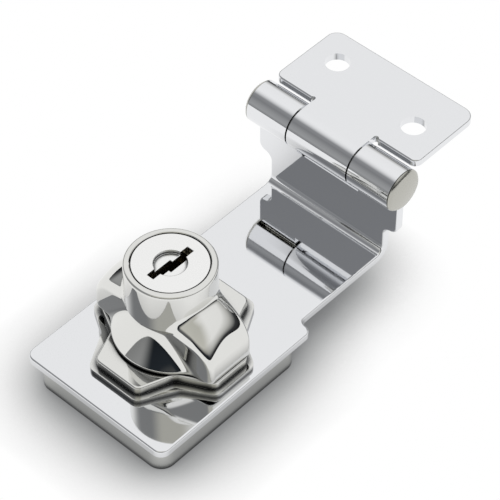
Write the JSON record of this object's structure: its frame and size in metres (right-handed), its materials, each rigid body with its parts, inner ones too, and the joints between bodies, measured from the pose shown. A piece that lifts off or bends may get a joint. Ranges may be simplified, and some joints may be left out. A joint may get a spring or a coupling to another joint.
{
  "type": "keyed hasp lock",
  "caption": "Keyed hasp lock: a hinged hasp plate that folds over a screwed-down strike and is held by a turning knob with a wafer lock in it.",
  "frame": {"origin": "under the knob's turning axis, on the surface that the strike is screwed to, at the centre of the strike's four screw holes", "axes": "+X across the hasp, +Y from the knob towards the hinge, +Z out of the mounting surface"},
  "size_m": [0.0348, 0.081, 0.0292],
  "materials": {
    "plate_chrome": "mirror chrome plate on folded steel sheet",
    "cast_chrome": "mirror chrome plate on a zinc casting",
    "face_chrome": "satin chrome plate",
    "pin_steel": "polished nickel-plated steel",
    "screw_steel": "zinc-plated steel",
    "catch_steel": "plain pressed steel",
    "spring_steel": "drawn spring wire",
    "lock_brass": "plain machined brass"
  },
  "bodies": {
    "fixed_side": {"hinge_leaf": "plate_chrome", "strike_base": "cast_chrome"},
    "hasp": {"hasp_plate": "plate_chrome", "hinge_pin": "pin_steel", "pin_cap": "pin_steel", "knob_seat": "cast_chrome", "seat_screws": "screw_steel"},
    "knob": {"knob_shell": "cast_chrome", "cylinder_housing": "lock_brass", "housing_pin": "screw_steel", "catch_bar": "catch_steel", "catch_washer": "screw_steel", "catch_screw": "screw_steel"},
    "plug": {"key_plug": "lock_brass", "plug_face": "face_chrome", "plug_clip": "screw_steel", "wafer_springs": "spring_steel"},
    "wafer_a": {"wafer_1": "lock_brass"},
    "wafer_b": {"wafer_2": "lock_brass"},
    "wafer_c": {"wafer_3": "lock_brass"},
    "wafer_d": {"wafer_4": "lock_brass"},
    "bolt": {"locking_bolt": "catch_steel"}
  },
  "joints": [
    {"name": "swing", "type": "hinge", "parent": "fixed_side", "child": "hasp", "pos_m": [0, 0.0409, 0.02505], "axis": [-1, 0, 0], "range_deg": [0, 160]},
    {"name": "knob_turn", "type": "hinge", "parent": "hasp", "child": "knob", "pos_m": [0, 0, 0.015], "axis": [0, 0, 1], "range_deg": [0, 90]},
    {"name": "key_turn", "type": "hinge", "parent": "knob", "child": "plug", "pos_m": [0, 0, 0.02], "axis": [0, 0, 1], "range_deg": [0, 90]},
    {"name": "bolt_slide", "type": "slide", "parent": "knob", "child": "bolt", "axis": [0, -1, 0], "range_m": [0, 0.0017]},
    {"name": "wafer_1_lift", "type": "slide", "parent": "plug", "child": "wafer_a", "axis": [0, 1, 0], "range_m": [0, 0.0007]},
    {"name": "wafer_2_lift", "type": "slide", "parent": "plug", "child": "wafer_b", "axis": [0, -1, 0], "range_m": [0, 0.0007]},
    {"name": "wafer_3_lift", "type": "slide", "parent": "plug", "child": "wafer_c", "axis": [0, 1, 0], "range_m": [0, 0.0007]},
    {"name": "wafer_4_lift", "type": "slide", "parent": "plug", "child": "wafer_d", "axis": [0, -1, 0], "range_m": [0, 0.0007]}
  ],
  "couplings": [
    {"joint": "bolt_slide", "follows": "key_turn", "m_per_rad": 0.0010822},
    {"joint": "wafer_2_lift", "follows": "wafer_1_lift", "ratio": 1},
    {"joint": "wafer_3_lift", "follows": "wafer_1_lift", "ratio": 1},
    {"joint": "wafer_4_lift", "follows": "wafer_1_lift", "ratio": 1}
  ]
}
